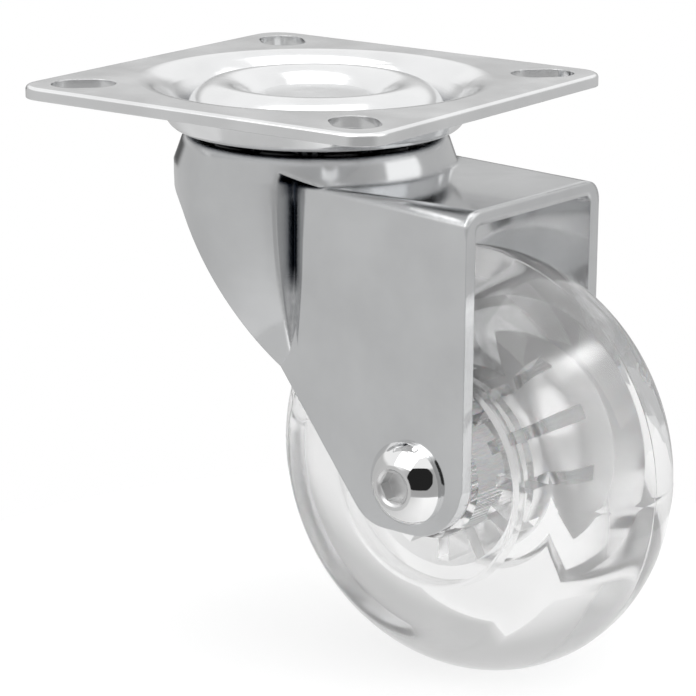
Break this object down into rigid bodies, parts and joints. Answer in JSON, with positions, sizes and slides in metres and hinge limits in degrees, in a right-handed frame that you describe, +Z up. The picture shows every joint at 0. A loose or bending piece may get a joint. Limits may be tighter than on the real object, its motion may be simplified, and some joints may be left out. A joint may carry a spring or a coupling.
{
  "type": "swivel plate castor",
  "caption": "Swivel plate castor: square pressed plate with diagonal slots, one-piece bright fork on ball races, clear round-tread wheel on a through bolt.",
  "frame": {"origin": "middle of the plate's top face, on the swivel axis", "axes": "+Z up along the swivel axis, out of the plate's top face; X and Y along the plate's two diagonals and its slots"},
  "size_m": [0.0841, 0.0886, 0.0797],
  "materials": {
    "bright_zinc": "bright zinc plating",
    "pin_steel": "plated rivet steel",
    "race_steel": "plain zinc plated steel",
    "ball_steel": "polished ball steel, greased",
    "bolt_chrome": "polished nickel or chrome",
    "nylon": "natural nylon",
    "clear_core": "clear moulded plastic",
    "clear_tyre": "clear polyurethane",
    "bush_plastic": "natural acetal"
  },
  "bodies": {
    "plate": {"top_plate": "bright_zinc", "king_pin": "pin_steel", "lower_race_cup": "race_steel", "king_pin_washer": "race_steel"},
    "upper_ball_row": {"upper_balls": "ball_steel"},
    "lower_ball_row": {"lower_balls": "ball_steel"},
    "fork_frame": {"fork": "bright_zinc", "axle_bolt": "bolt_chrome", "axle_sleeve": "race_steel", "near_side_washer": "race_steel", "far_side_washer": "race_steel", "nut_washer": "bolt_chrome", "axle_nut": "bolt_chrome", "nut_ring": "nylon"},
    "wheel": {"wheel_core": "clear_core", "wheel_tyre": "clear_tyre", "near_bush": "bush_plastic", "far_bush": "bush_plastic"}
  },
  "joints": [
    {"name": "swivel", "type": "hinge", "parent": "plate", "child": "fork_frame", "pos_m": [0, 0, 0], "axis": [0, 0, 1], "continuous": true},
    {"name": "wheel_spin", "type": "hinge", "parent": "fork_frame", "child": "wheel", "pos_m": [0.01903, -0.02189, -0.0497], "axis": [0.7547, 0.6561, 0], "continuous": true},
    {"name": "upper_ball_orbit", "type": "hinge", "parent": "plate", "child": "upper_ball_row", "pos_m": [0, 0, -0.00528], "axis": [0, 0, 1], "continuous": true},
    {"name": "lower_ball_orbit", "type": "hinge", "parent": "plate", "child": "lower_ball_row", "pos_m": [0, 0, -0.01173], "axis": [0, 0, 1], "continuous": true}
  ],
  "couplings": [
    {"joint": "upper_ball_orbit", "follows": "swivel", "ratio": 0.5},
    {"joint": "lower_ball_orbit", "follows": "swivel", "ratio": 0.5}
  ]
}
